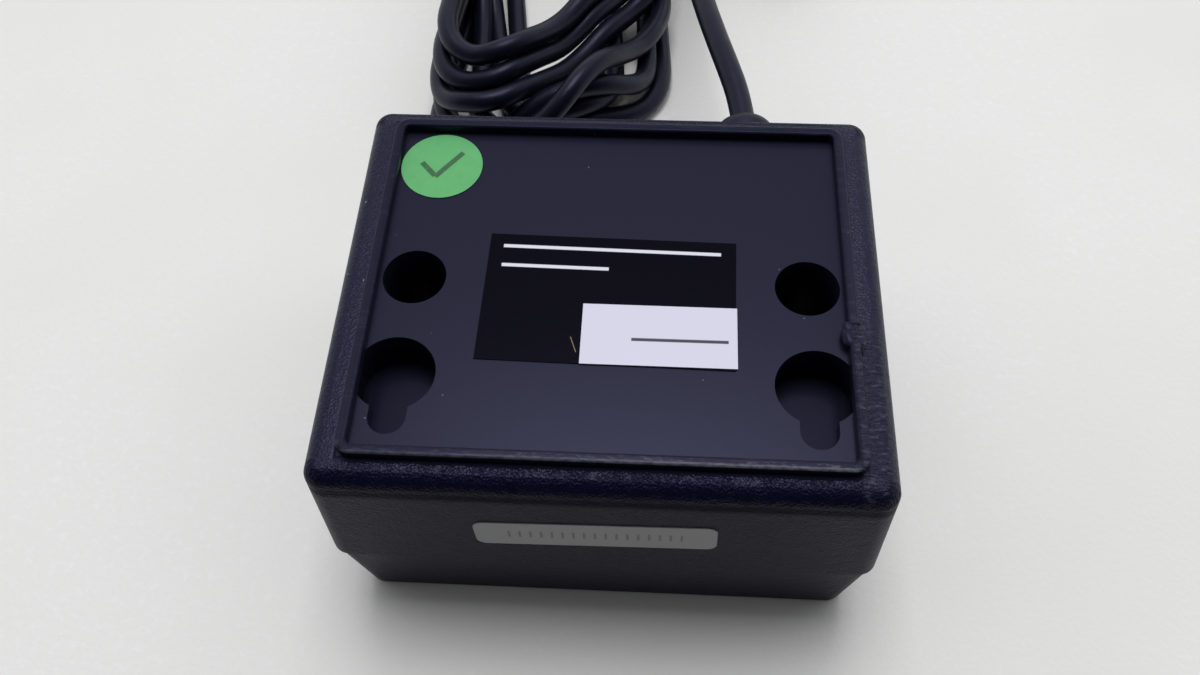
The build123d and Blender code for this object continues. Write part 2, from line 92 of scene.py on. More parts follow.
def new_finish(name, colour, roughness, metallic=0.0, specular=0.5, specular_tint=(1, 1, 1)):
    """A material with one Principled shader whose plain values are set on its own sockets."""
    material = bpy.data.materials.new(name)
    material.use_nodes = True
    shader = material.node_tree.nodes["Principled BSDF"]
    shader.inputs["Base Color"].default_value = (*colour, 1)
    shader.inputs["Roughness"].default_value = roughness
    shader.inputs["Metallic"].default_value = metallic
    shader.inputs["Specular IOR Level"].default_value = specular
    shader.inputs["Specular Tint"].default_value = (*specular_tint, 1)
    material.diffuse_color = (*colour, 1)
    return material, material.node_tree, shader


def node(tree, kind, settings=None, **inputs):
    """A node of that kind. Each input is a value or another node's output; _ stands for a space."""
    made = tree.nodes.new(kind)
    for key, value in (settings or {}).items():
        setattr(made, key, value)
    for key, value in inputs.items():
        socket = made.inputs[int(key[1:])] if key[1:].isdigit() else made.inputs[key.replace("_", " ")]
        if isinstance(value, bpy.types.NodeSocket):
            tree.links.new(value, socket)
        else:
            socket.default_value = value
    return made


def sums(tree, operation, *values):
    """The result of one Math node."""
    inputs = {f"i{n}": value for n, value in enumerate(values)}
    return node(tree, "ShaderNodeMath", {"operation": operation}, **inputs).outputs[0]


def product(tree, first, *others):
    """All the values multiplied together."""
    for other in others:
        first = sums(tree, "MULTIPLY", first, other)
    return first


def weighed(tree, base, *parts):
    """base plus each part, which is a value and its weight."""
    for value, weight in parts:
        base = sums(tree, "MULTIPLY_ADD", value, weight, base)
    return base


def object_place(tree):
    """Where a point lies in the sensor's own frame."""
    return node(tree, "ShaderNodeTexCoord").outputs["Object"]


def split(tree, place):
    """The x, y and z of a place."""
    return node(tree, "ShaderNodeSeparateXYZ", Vector=place).outputs


def noise(tree, place, size, detail=3.0, rough=0.55, stretch=(1, 1, 1)):
    """Soft random values from 0 to 1 whose blotches are about size metres across."""
    if stretch != (1, 1, 1):
        place = node(tree, "ShaderNodeMapping", Vector=place, Scale=stretch).outputs[0]
    made = node(tree, "ShaderNodeTexNoise", Vector=place, Scale=1 / size, Detail=detail, Roughness=rough)
    return made.outputs[0]


def between(tree, value, low, high, at_low=0.0, at_high=1.0):
    """Maps low..high smoothly to at_low..at_high, and holds the ends. low may be the greater of the two."""
    made = node(tree, "ShaderNodeMapRange", {"interpolation_type": "SMOOTHSTEP"}, Value=value,
                i1=low, i2=high, i3=at_low, i4=at_high)
    return made.outputs[0]


def mixed(tree, share, first, second):
    """Colour between first and second."""
    made = node(tree, "ShaderNodeMix", {"data_type": "RGBA"})
    for socket, value in ((made.inputs[0], share), (made.inputs[6], first), (made.inputs[7], second)):
        if isinstance(value, bpy.types.NodeSocket):
            tree.links.new(value, socket)
        else:
            socket.default_value = value if isinstance(value, float) else (*value, 1)
    return made.outputs[2]


def bump(tree, height, depth, under=None):
    """A surface normal raised by height, which runs from 0 to 1, times depth in metres."""
    made = node(tree, "ShaderNodeBump", Height=height, Distance=depth, Strength=1.0)
    if under:
        tree.links.new(under, made.inputs["Normal"])
    return made.outputs[0]


def paint(tree, shader, **outputs):
    """Links each output to the shader's input of that name; _ stands for a space."""
    for key, value in outputs.items():
        tree.links.new(value, shader.inputs[key.replace("_", " ")])


def floor_piece(name, near, far):
    """A flat piece of the table from near to far."""
    mesh = bpy.data.meshes.new(name)
    half = table_size / 2
    corners = [(x, y, table_height) for x, y in ((-half, near), (half, near), (half, far), (-half, far))]
    mesh.from_pydata(corners, [], [(0, 1, 2, 3)])
    piece = bpy.data.objects.new(name, mesh)
    bpy.context.collection.objects.link(piece)
    return piece


table_finish, tree, shader = new_finish("table_board", table_colour, 0.6, specular=0.3)
place = object_place(tree)
fleck = between(tree, noise(tree, place, 0.0012, 2.0), 0.52, 0.72)
cloud = noise(tree, place, 0.05, 2.0)
board = mixed(tree, fleck, table_colour, fleck_colour)
board = mixed(tree, between(tree, cloud, 0.35, 0.7), board, cloud_colour)
paint(tree, shader, Base_Color=board, Normal=bump(tree, noise(tree, place, 0.0008, 2.0), 0.00004))
floor_piece("table", table_near, table_size / 2).data.materials.append(table_finish)

# The table's other side, which the views from behind see: it shows to the camera alone, so that the case's
# near side goes on facing a dark room, as it does in the photograph.
seen_finish = table_finish.copy()
seen_finish.name = "table_board_seen"
tree = seen_finish.node_tree
clear = node(tree, "ShaderNodeBsdfTransparent")
to_camera = node(tree, "ShaderNodeLightPath").outputs["Is Camera Ray"]
seen = node(tree, "ShaderNodeMixShader", i0=to_camera, i1=clear.outputs[0],
            i2=tree.nodes["Principled BSDF"].outputs[0])
tree.links.new(seen.outputs[0], tree.nodes["Material Output"].inputs["Surface"])
floor_piece("table_near_side", -table_size / 2, table_near).data.materials.append(seen_finish)

lamp = bpy.data.objects.new("lamp", bpy.data.lights.new("lamp", "AREA"))
lamp.data.size = lamp_size
lamp.data.energy = lamp_watts
lamp.location = lamp_place
lamp.rotation_euler = lamp_place.to_track_quat("Z", "Y").to_euler()
bpy.context.collection.objects.link(lamp)

room = bpy.data.worlds.new("room")
room.use_nodes = True
bpy.context.scene.world = room
tree = room.node_tree
looking = node(tree, "ShaderNodeTexCoord").outputs["Generated"]
facing = node(tree, "ShaderNodeVectorMath", {"operation": "DOT_PRODUCT"}, i0=looking,
              i1=viewer_direction.normalized()).outputs["Value"]
strength = between(tree, facing, dusk_starts, dusk_ends, room_light, viewer_light)
tree.links.new(strength, tree.nodes["Background"].inputs["Strength"])
tree.nodes["Background"].inputs["Color"].default_value = (*room_colour, 1)

# The case: two shells moulded in black ABS and screwed together. Their outside walls have a fine leathery
# grain, and the recess in the back, its wells and its keyhole pockets are smooth.
case_colour = (0.0042, 0.0036, 0.0170)
panel_colour = (0.0100, 0.0104, 0.0235)
scuff_colour = (0.10, 0.10, 0.12)
# The next colour is a painted highlight along the near lip's outer top edge, together with its wear streaks.
edge_highlight_and_wear_colour = (0.11, 0.11, 0.13)
# The next colour is a painted highlight on the crests of the drag marks on the right rim.
ridge_highlight_colour = (0.062, 0.064, 0.090)
dust_colour = (0.20, 0.20, 0.23)
case_tint = (0.62, 0.63, 1.0)       # of what it reflects
panel_sheen = 0.148
least_sheen = 0.02
panel_roughness = 0.29
panel_depth = 0.000004      # this and the next two are what the bumps stand up by
grain_depth = 0.00011
ridge_depth = 0.00032
grain_size = 0.00028
dust_spacing = 0.0028
parting_height = 0.0149
groove_height = 0.00025     # on each shell, at the parting line
groove_depth = 0.00016
case_corner = 0.0022
skin = 0.0005               # what lies within this of the case's outside is its outside wall
same_height = 0.00001
recess_half = Vector((0.0267, 0.0221, 0))
lip_width = 0.0013          # out to the foot of its outer wall
lip_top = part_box("rear_shell")[1].z
roll_top, roll_foot = 0.0330, 0.0310        # of the rounded edge between the ledge and the wall

# The lobes of the lump on the lip and the chips in the ledge, each as its middle and its size.
bead_lobes = (((0.02684, -0.00690, 0.03535), (0.00092, 0.00160, 0.00050)),
              ((0.02668, -0.00580, 0.03538), (0.00066, 0.00075, 0.00046)),
              ((0.02730, -0.00535, 0.03548), (0.00075, 0.00034, 0.00036)),
              ((0.02775, -0.00740, 0.03525), (0.00080, 0.00150, 0.00046)))
bead_swell = 0.25           # how far the lobes are from smooth, over swells of the next size
bead_swell_size = 1 / 1.4
lobes_apart = 900           # takes each lobe to a part of the noise of its own
chips = (((-0.0302, 0.0108), (0.00022, 0.00026)), ((-0.0306, 0.0003), (0.00018, 0.00016)),
         ((-0.0285, -0.0008), (0.00012, 0.00040)))


def smooth_copy(name, source, *changes, added=(), sharp=30):
    """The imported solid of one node, changed and with what is added to it, smooth but for its sharp edges."""
    shape = bmesh.new()
    shape.from_mesh(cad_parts[source].data)
    bmesh.ops.remove_doubles(shape, verts=shape.verts, dist=1e-6)
    for change in changes:
        change(shape)
    for mesh in added:
        shape.from_mesh(mesh)
    for face in shape.faces:
        face.smooth = True
    for edge in shape.edges:
        edge.smooth = len(edge.link_faces) == 2 and edge.calc_face_angle() < radians(sharp)
    mesh = bpy.data.meshes.new(name)
    shape.to_mesh(mesh)
    shape.free()
    if "custom_normal" in mesh.attributes:
        mesh.attributes.remove(mesh.attributes["custom_normal"])
    piece = bpy.data.objects.new(name, mesh)
    bpy.context.collection.objects.link(piece)
    weigh = piece.modifiers.new("even_flats", "WEIGHTED_NORMAL")
    weigh.keep_sharp = True
    weigh.weight = 100
    piece.data = bpy.data.meshes.new_from_object(piece.evaluated_get(bpy.context.evaluated_depsgraph_get()))
    piece.data.name = name
    piece.modifiers.clear()
    return piece


def open_parting_line(shape):
    """Draws the wall in at the parting line, so that a fine groove runs round where the shells meet."""
    above = sum(vert.co.z for vert in shape.verts) / len(shape.verts) > parting_height
    cut_height = parting_height + (groove_height if above else -groove_height)
    bmesh.ops.bisect_plane(shape, geom=shape.verts[:] + shape.edges[:] + shape.faces[:], dist=1e-7,
                           plane_co=(0, 0, cut_height), plane_no=(0, 0, 1))
    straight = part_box("rear_shell")[1] - Vector((case_corner, case_corner, 0))
    for vert in shape.verts:
        if abs(vert.co.z - parting_height) < same_height:
            out = Vector((max(abs(vert.co.x) - straight.x, 0), max(abs(vert.co.y) - straight.y, 0), 0))
            if out.length > case_corner - skin:
                out = out.normalized() * groove_depth
                vert.co.x -= out.x if vert.co.x > 0 else -out.x
                vert.co.y -= out.y if vert.co.y > 0 else -out.y


def add_bead(shape):
    """The lump of plastic that a hot or sharp thing has pushed up on the lip's right side."""
    for middle, radii in bead_lobes:
        made = bmesh.ops.create_icosphere(shape, subdivisions=3, radius=1.0)
        for vert in made["verts"]:
            drawn_at = vert.co / bead_swell_size + Vector(middle) * lobes_apart
            swell = 1 + bead_swell * mathutils.noise.noise(drawn_at)
            vert.co = Vector(middle) + Vector(a * b * swell for a, b in zip(vert.co, radii))


def fit(piece, finish, slot, *stands_for):
    """Gives a piece its finish and tells the frame what it is part of."""
    piece.data.materials.clear()
    piece.data.materials.append(finish)
    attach(piece, "root")
    if stands_for:
        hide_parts(*stands_for)
    return piece


def bars(tree, axes, *strokes, soft=0.00006):
    """1 inside any of the bars, else 0. Each is a middle, a size and a turn in degrees, 0 if left out."""
    inside = 0.0
    for middle, size, *turns in strokes:
        x, y = sums(tree, "SUBTRACT", axes[0], middle[0]), sums(tree, "SUBTRACT", axes[1], middle[1])
        for turn in map(radians, turns):
            x, y = (weighed(tree, product(tree, x, cos(turn)), (y, sin(turn))),
                    weighed(tree, product(tree, y, cos(turn)), (x, -sin(turn))))
        inside_x = between(tree, sums(tree, "ABSOLUTE", x), size[0] / 2 + soft, size[0] / 2 - soft)
        inside_y = between(tree, sums(tree, "ABSOLUTE", y), size[1] / 2 + soft, size[1] / 2 - soft)
        inside = sums(tree, "MAXIMUM", inside, product(tree, inside_x, inside_y))
    return inside


case_finish, tree, shader = new_finish("case_plastic", case_colour, 0.30, specular=0.2,
                                       specular_tint=case_tint)
place = object_place(tree)
axes = split(tree, place)
height = axes[2]
below_top = sums(tree, "SUBTRACT", lip_top, height)
past_side = sums(tree, "SUBTRACT", sums(tree, "ABSOLUTE", axes[0]), recess_half.x)
past_end = sums(tree, "SUBTRACT", sums(tree, "ABSOLUTE", axes[1]), recess_half.y)
outside = sums(tree, "MAXIMUM", past_side, past_end)

# Which part of the case a point is on: each is 1 there and 0 elsewhere.
grained = between(tree, outside, lip_width, lip_width + 0.0005)
on_wall = product(tree, grained, between(tree, height, roll_top, roll_foot))
on_end = product(tree, grained, between(tree, past_end, 0.0010, 0.0016))
on_roll = product(tree, on_end, between(tree, height, 0.03438, 0.03429),
                  between(tree, height, 0.0300, 0.0326))
on_right = product(tree, between(tree, axes[0], recess_half.x, recess_half.x + 0.0006),
                   between(tree, height, roll_top, 0.0342))
in_pocket = product(tree, between(tree, outside, 0.0, -0.0001), between(tree, height, 0.0320, roll_foot))
on_lip = product(tree, between(tree, below_top, 0.0004, 0.0002), between(tree, outside, -0.0002, 0.0))
inner_half = product(tree, on_lip, between(tree, outside, 0.00075, 0.00045))
on_lip_wall = product(tree, between(tree, outside, 0.00094, 0.00102),
                      between(tree, outside, 0.00135, 0.00125), between(tree, below_top, 0.00008, 0.00018))

# The moulded grain: pebbles, in patches, deepest on the near and far ledges and least on the walls.
pebble = node(tree, "ShaderNodeTexVoronoi", {"feature": "F1"}, Vector=place, Scale=1 / grain_size,
              Randomness=1.0).outputs["Distance"]
patches = between(tree, noise(tree, place, 0.0016, 3.0, 0.6), 0.30, 0.62, 0.55, 1.15)
leather = product(tree, weighed(tree, 0.0, (pebble, 0.9), (noise(tree, place, 0.0005), 0.6)), patches)
relief = product(tree, leather, weighed(tree, 0.0, (grained, 0.55), (on_end, 0.60), (on_wall, -0.55)))

# The marks that something left when it was dragged over the right side of the rim, and a painted highlight on
# their crests.
dragged = product(tree, on_right, between(tree, axes[1], -0.0030, -0.0075),
                  between(tree, axes[0], 0.0308, 0.0300))
ridges = product(tree, noise(tree, place, 0.0010, 4.0, 0.65, (0.5, 2.2, 1)), dragged)
painted_ridge_highlights = product(tree, dragged,
                 between(tree, noise(tree, place, 0.0008, 4.0, 0.7, (0.5, 2.0, 1)), 0.50, 0.66))

# The lip's marks: on its near side a fine ragged line of painted highlight along the outer top edge, and wear
# streaks, both stronger to the right; and faint scuffs.
ragged = weighed(tree, outside, (noise(tree, place, 0.0004, 3.0, 0.7, (0.5, 1, 1)), 0.0004))
edge_highlight_line = product(tree, between(tree, ragged, 0.00094, 0.00102),
                    between(tree, noise(tree, place, 0.0007, 4.0, 0.75, (0.5, 1, 1)), 0.36, 0.60, 0.35, 1.0))
streaks = product(tree, between(tree, ragged, 0.00030, 0.00080),
                  between(tree, noise(tree, place, 0.00045, 4.0, 0.75, (0.45, 1.4, 1)), 0.52, 0.62), 0.6)
on_near_lip = product(tree, between(tree, axes[1], -0.0215, -0.0222),
                      between(tree, below_top, 0.00020, 0.00012), between(tree, axes[0], 0.0272, 0.0264))
edge_highlight_and_wear = product(tree, sums(tree, "MAXIMUM", edge_highlight_line, streaks), on_near_lip,
               between(tree, axes[0], -0.030, 0.024, 0.35, 1.0))
scuffed = product(tree, on_lip, between(tree, noise(tree, place, 0.0006, 4.0, 0.7, (0.12, 1, 1)), 0.50, 0.72))

# Dust: one speck in four of those that the texture spreads, and the chips, which are as pale.
speck = node(tree, "ShaderNodeTexVoronoi", Vector=place, Scale=1 / dust_spacing)
drawn = node(tree, "ShaderNodeSeparateColor", Color=speck.outputs["Color"]).outputs[0]
dust = product(tree, between(tree, speck.outputs["Distance"], 0.045, 0.025),
               sums(tree, "GREATER_THAN", drawn, 0.72))
dusty = sums(tree, "MAXIMUM", dust, bars(tree, axes, *chips))

# Laid over the plastic's colour: scuffs, the near lip's painted edge highlight with its wear, the painted
# highlight on the drag marks' crests, and dust.
colour = mixed(tree, grained, panel_colour, case_colour)
for mark, share, mark_colour in ((scuffed, 0.12, scuff_colour), (edge_highlight_and_wear, 0.9, edge_highlight_and_wear_colour),
                                 (painted_ridge_highlights, 0.7, ridge_highlight_colour), (dusty, 0.8, dust_colour)):
    colour = mixed(tree, product(tree, mark, share), colour, mark_colour)
sheen = weighed(tree, panel_sheen, (grained, 0.085), (on_end, 0.06), (on_right, 0.06), (on_wall, -0.115),
                (product(tree, on_wall, on_end), -0.06), (in_pocket, -0.085), (on_lip_wall, -0.13),
                (inner_half, -0.03), (on_lip, -0.03), (on_roll, -0.22))
fine_bumps = bump(tree, noise(tree, place, 0.0005), panel_depth)
paint(tree, shader, Base_Color=colour, Specular_IOR_Level=sums(tree, "MAXIMUM", sheen, least_sheen),
      Roughness=weighed(tree, panel_roughness, (grained, 0.08), (on_wall, 0.06)),
      Normal=bump(tree, relief, grain_depth, bump(tree, ridges, ridge_depth, fine_bumps)))

fit(smooth_copy("front_case", "front_shell", open_parting_line), case_finish, "case_plastic", "front_shell")
fit(smooth_copy("rear_case", "rear_shell", open_parting_line, add_bead), case_finish, "case_plastic",
    "rear_shell")

# The case screws: zinc-plated pan heads with a cross recess, one at the bottom of each deep round well.
# They pull the rear shell down on to bosses in the front shell.
steel_finish, tree, shader = new_finish("zinc_plate", (0.42, 0.42, 0.43), 0.35, metallic=1.0)
place = object_place(tree)
paint(tree, shader, Roughness=between(tree, noise(tree, place, 0.0006), 0.3, 0.7, 0.28, 0.5),
      Normal=bump(tree, noise(tree, place, 0.0002), 0.00001))
case_screw_places = [(side * 0.02265, 0.0, 0.0070) for side in (-1, 1)]     # where each thread starts
case_thread = {"Turns": 7.0, "Length": 0.008, "Core": 0.00142, "Crest": 0.00022}
board_screw_places = [(x, y, 0.0041) for x in (-0.015, 0.015) for y in (-0.018, 0.018)]
board_thread = {"Turns": 4.6, "Length": 0.0028, "Core": 0.00093, "Crest": 0.00014}


def new_rule(name, **sizes):
    """A geometry tree with its named sizes, and its group input."""
    tree = bpy.data.node_groups.new(name, "GeometryNodeTree")
    tree.interface.new_socket("Geometry", in_out="INPUT", socket_type="NodeSocketGeometry")
    for key, value in sizes.items():
        kind = "NodeSocketInt" if isinstance(value, int) else "NodeSocketFloat"
        tree.interface.new_socket(key, in_out="INPUT", socket_type=kind).default_value = value
    tree.interface.new_socket("Geometry", in_out="OUTPUT", socket_type="NodeSocketGeometry")
    return tree, node(tree, "NodeGroupInput").outputs


def end_rule(tree, instances, finish):
    """Makes the tree's copies real, gives them their finish and ends it."""
    real = node(tree, "GeometryNodeRealizeInstances", Geometry=instances)
    node(tree, "NodeGroupOutput", Geometry=node(tree, "GeometryNodeSetMaterial", Geometry=real.outputs[0],
                                                Material=finish).outputs[0])


def grown(rule, places, **sizes):
    """The plain mesh that the geometry tree makes at those places with those sizes."""
    mesh = bpy.data.meshes.new(rule.name)
    mesh.from_pydata(places, [], [])
    piece = bpy.data.objects.new(rule.name, mesh)
    bpy.context.collection.objects.link(piece)
    steps = piece.modifiers.new(rule.name, "NODES")
    steps.node_group = rule
    for socket in rule.interface.items_tree:
        if socket.in_out == "INPUT" and socket.name in sizes:
            steps[socket.identifier] = sizes[socket.name]
    made = bpy.data.meshes.new_from_object(piece.evaluated_get(bpy.context.evaluated_depsgraph_get()))
    piece.modifiers.clear()
    bpy.data.objects.remove(piece)
    return made


thread_rule, sizes = new_rule("screw_thread", **case_thread)
helix = node(thread_rule, "GeometryNodeCurveSpiral", Resolution=24, Rotations=sizes["Turns"],
             Start_Radius=sizes["Core"], End_Radius=sizes["Core"], Height=sizes["Length"])
profile = node(thread_rule, "GeometryNodeCurvePrimitiveCircle", Resolution=3, Radius=sizes["Crest"])
thread = node(thread_rule, "GeometryNodeCurveToMesh", Curve=helix.outputs[0],
              Profile_Curve=profile.outputs[0], Fill_Caps=True)
threads = node(thread_rule, "GeometryNodeInstanceOnPoints", Points=sizes["Geometry"],
               Instance=thread.outputs[0])
end_rule(thread_rule, threads.outputs[0], steel_finish)
for name, source, places, lengths in (
    ("case_screw_pair", "case_screws", case_screw_places, case_thread),
    ("board_screw_set", "board_screws", board_screw_places, board_thread),
):
    cut_threads = grown(thread_rule, places, **lengths)
    fit(smooth_copy(name, source, added=[cut_threads]), steel_finish, "screw_steel", source)

# The circuit board and what is soldered on it, hidden in the case: green solder mask over glass laminate,
# a sensing chip under the board at the air slots, a controller, and the header that takes the cord's wires.
mask_colour = (0.02, 0.16, 0.07)
mask_shades = {"Color1": (0.02, 0.15, 0.065, 1), "Color2": (0.02, 0.17, 0.075, 1),
               "Mortar": (0.035, 0.24, 0.10, 1)}
track_spacing = 0.004
track_depth = 0.00003


def uneven(name, colour, roughness, size, depth):
    """A finish that isn't metal, whose surface rises and falls by depth over blotches of that size."""
    finish, tree, shader = new_finish(name, colour, roughness)
    paint(tree, shader, Normal=bump(tree, noise(tree, object_place(tree), size), depth))
    return finish


def metal(name, colour, roughness, size, least, most, detail=3.0):
    """A metal finish whose roughness goes from least to most over blotches of that size."""
    finish, tree, shader = new_finish(name, colour, roughness, metallic=1.0)
    blotches = noise(tree, object_place(tree), size, detail)
    paint(tree, shader, Roughness=between(tree, blotches, 0.3, 0.7, least, most))
    return finish


board_finish, tree, shader = new_finish("solder_mask", mask_colour, 0.3)
tracks = node(tree, "ShaderNodeTexBrick", {"offset": 0.37}, Vector=object_place(tree),
              Scale=1 / track_spacing, Mortar_Size=0.04, **mask_shades)
paint(tree, shader, Base_Color=tracks.outputs[0], Normal=bump(tree, tracks.outputs[1], track_depth))
epoxy_finish = uneven("chip_epoxy", (0.02, 0.02, 0.02), 0.55, 0.0002, 0.00001)
ceramic_finish = uneven("sensor_ceramic", (0.75, 0.74, 0.70), 0.6, 0.0003, 0.00001)
can_finish = metal("drawn_can", (0.75, 0.75, 0.77), 0.3, 0.0008, 0.22, 0.4)
tan_finish = uneven("capacitor_ceramic", (0.5, 0.38, 0.25), 0.5, 0.0002, 0.00001)
nylon_finish = uneven("header_nylon", (0.80, 0.78, 0.70), 0.5, 0.0006, 0.00002)
wire_finish = uneven("wire_insulation", (0.45, 0.05, 0.04), 0.4, 0.0008, 0.00002)
for source, finish, slot in (
    ("circuit_board", board_finish, "board_green"), ("microcontroller", epoxy_finish, "chip_black"),
    ("regulator", epoxy_finish, "chip_black"), ("resistors", epoxy_finish, "chip_black"),
    ("sensor_element", ceramic_finish, "sensor_white"), ("capacitor", can_finish, "can_metal"),
    ("crystal", can_finish, "can_metal"), ("small_capacitors", tan_finish, "ceramic_tan"),
    ("wire_header", nylon_finish, "header_nylon"), ("wire_plug", nylon_finish, "header_nylon"),
    ("board_wires", wire_finish, "wire_insulation"),
):
    fit(smooth_copy(source + "_piece", source), finish, slot, source)

# The solder joints: small bright cones on the board's underside, where the header's four pins come through
# it. Each is tin solder that has run up the pin and set.
header_x, header_y = 0.005, 0.0148
pin_spacing = 0.0025
joint_height = 0.00705
joint_places = [(header_x + (n - 1.5) * pin_spacing, header_y, joint_height) for n in range(4)]
joint_sizes = {"Foot": 0.0009, "Tip": 0.0003, "Height": 0.0009}
solder_finish = metal("solder", (0.62, 0.62, 0.64), 0.35, 0.0005, 0.28, 0.45)
joint_rule, sizes = new_rule("solder_joint", **joint_sizes)
cone = node(joint_rule, "GeometryNodeMeshCone", Vertices=16, Side_Segments=3, Radius_Top=sizes["Tip"],
            Radius_Bottom=sizes["Foot"], Depth=sizes["Height"])
cones = node(joint_rule, "GeometryNodeInstanceOnPoints", Points=sizes["Geometry"], Instance=cone.outputs[0],
             Rotation=(radians(180), 0, 0))
end_rule(joint_rule, cones.outputs[0], solder_finish)
solder_joints = bpy.data.objects.new("solder_joints", grown(joint_rule, joint_places, **joint_sizes))
bpy.context.collection.objects.link(solder_joints)
fit(solder_joints, solder_finish, "can_metal")

# The stickers: a round green paper dot, a black film label with a smaller white one laid over its corner,
# and a narrow silver film label on the near wall. They are plain but for rules, a tick and a row of marks.
green_colour = (0.10, 0.42, 0.145)
green_shades = (0.085, 0.38, 0.125), (0.125, 0.45, 0.165)
tick_colour = (0.02, 0.06, 0.03)
black_colour = (0.002, 0.0016, 0.004)
black_rule_colour = (0.72, 0.72, 0.80)
scratch_colour = (0.42, 0.33, 0.18)
white_colour = (0.62, 0.62, 0.75)
white_rule_colour = (0.02, 0.02, 0.04)
silver_colour = (0.31, 0.31, 0.32)
silver_mark_colour = (0.06, 0.06, 0.06)
film_blotch, film_depth = 0.0008, 0.00001

# What is printed on them, as bars: each has its middle, its size and its turn in degrees.
tick = ((-0.02315, 0.01605), (0.0028, 0.0007), -48), ((-0.02065, 0.01685), (0.0050, 0.0007), 52)
black_rules = ((0.0001, 0.0045), (0.0255, 0.00045), -1), ((-0.0064, 0.0019), (0.0125, 0.00045), -1)
black_scratch = (-0.00364, -0.00852), (0.0021, 0.00005), -70
white_rule = (0.0082, -0.0077), (0.0108, 0.0004)
silver_strip = (-0.0005, 0.0235), (0.0205, 0.0016), 1.8       # across and up the near wall
silver_marks_repeat = 0.0006

green_finish, tree, shader = new_finish("green_paper", green_colour, 0.55, specular=0.3)
place = object_place(tree)
paper = mixed(tree, noise(tree, place, 0.0012, 4.0), *green_shades)
ink = product(tree, bars(tree, split(tree, place), *tick),
              between(tree, noise(tree, place, 0.0004), 0.2, 0.5, 0.6, 0.85))
paint(tree, shader, Base_Color=mixed(tree, ink, paper, tick_colour),
      Normal=bump(tree, noise(tree, place, 0.0005), 0.00002))
fit(smooth_copy("green_dot", "round_sticker"), green_finish, "sticker_green", "round_sticker")

black_finish, tree, shader = new_finish("black_film", black_colour, 0.30, specular=0.035,
                                        specular_tint=case_tint)
place = object_place(tree)
axes = split(tree, place)
film = mixed(tree, bars(tree, axes, *black_rules), black_colour, black_rule_colour)
film = mixed(tree, bars(tree, axes, black_scratch), film, scratch_colour)
paint(tree, shader, Base_Color=film, Normal=bump(tree, noise(tree, place, film_blotch), film_depth))
fit(smooth_copy("black_label_film", "black_label"), black_finish, "label_black", "black_label")

white_finish, tree, shader = new_finish("white_film", white_colour, 0.45, specular=0.35)
place = object_place(tree)
film = mixed(tree, bars(tree, split(tree, place), white_rule), white_colour, white_rule_colour)
paint(tree, shader, Base_Color=film, Normal=bump(tree, noise(tree, place, film_blotch), film_depth))
fit(smooth_copy("white_label_film", "white_label"), white_finish, "label_white", "white_label")

silver_finish, tree, shader = new_finish("silver_film", silver_colour, 0.4, specular=0.4)
place = object_place(tree)
axes = split(tree, place)
repeat = sums(tree, "PINGPONG", sums(tree, "SUBTRACT", axes[0], silver_strip[0][0]), silver_marks_repeat)
mark = product(tree, between(tree, repeat, 0.00018, 0.00010), bars(tree, (axes[0], axes[2]), silver_strip))
film = mixed(tree, product(tree, mark, 0.7), silver_colour, silver_mark_colour)
paint(tree, shader, Base_Color=film, Normal=bump(tree, noise(tree, place, film_blotch), film_depth))
fit(smooth_copy("silver_label_film", "side_label"), silver_finish, "label_silver", "side_label")

# The cord grip and the plug: soft black vinyl moulded round the cord. The grip snaps into the far wall, and
# the plug is a round one with a plated sleeve, an insulating core and gold-flashed pins.
vinyl_colour = (0.0045, 0.0043, 0.011)
plug_middle = (0.0272, 0.0058)      # across and up; it lies along Y, its mouth towards the case
grip_start, relief_start = 0.1065, 0.1222
grip_ribs = {"Count": 6, "Spacing": 0.0020, "Radius": 0.00575, "Thickness": 0.00038, "Taper": 0.0}
relief_ribs = {"Count": 5, "Spacing": 0.0020, "Radius": 0.00345, "Thickness": 0.00050, "Taper": 0.055}

grip_finish, tree, shader = new_finish("grip_vinyl", vinyl_colour, 0.45, specular=0.3,
                                       specular_tint=case_tint)
place = object_place(tree)
paint(tree, shader, Roughness=between(tree, noise(tree, place, 0.002), 0.3, 0.7, 0.40, 0.50),
      Normal=bump(tree, noise(tree, place, 0.0004), 0.00002))
cord_grip = fit(smooth_copy("cord_grip_moulding", "cord_grip"), grip_finish, "grip_vinyl", "cord_grip")

rib_rule, sizes = new_rule("moulded_ribs", **grip_ribs)
step = node(rib_rule, "ShaderNodeCombineXYZ", Y=sizes["Spacing"])
row = node(rib_rule, "GeometryNodeMeshLine", Count=sizes["Count"], Offset=step.outputs[0])
arc = node(rib_rule, "GeometryNodeCurveArc", Resolution=40, Radius=sizes["Radius"],
           Start_Angle=radians(-60), Sweep_Angle=radians(300))
profile = node(rib_rule, "GeometryNodeCurvePrimitiveCircle", Resolution=8, Radius=sizes["Thickness"])
rib = node(rib_rule, "GeometryNodeCurveToMesh", Curve=arc.outputs[0], Profile_Curve=profile.outputs[0],
           Fill_Caps=True)
number = node(rib_rule, "GeometryNodeInputIndex").outputs[0]
shrink = sums(rib_rule, "SUBTRACT", 1.0, product(rib_rule, number, sizes["Taper"]))
ribs = node(rib_rule, "GeometryNodeInstanceOnPoints", Points=row.outputs[0], Instance=rib.outputs[0],
            Rotation=(radians(90), 0, 0), Scale=shrink)
end_rule(rib_rule, ribs.outputs[0], grip_finish)
moulded = []
for start, lengths in ((grip_start, grip_ribs), (relief_start, relief_ribs)):
    mesh = grown(rib_rule, [], **lengths)
    mesh.transform(Matrix.Translation((plug_middle[0], start, plug_middle[1])))
    moulded.append(mesh)
plug_grip = fit(smooth_copy("plug_moulding", "plug_grip", added=moulded), grip_finish, "grip_vinyl",
                "plug_grip")

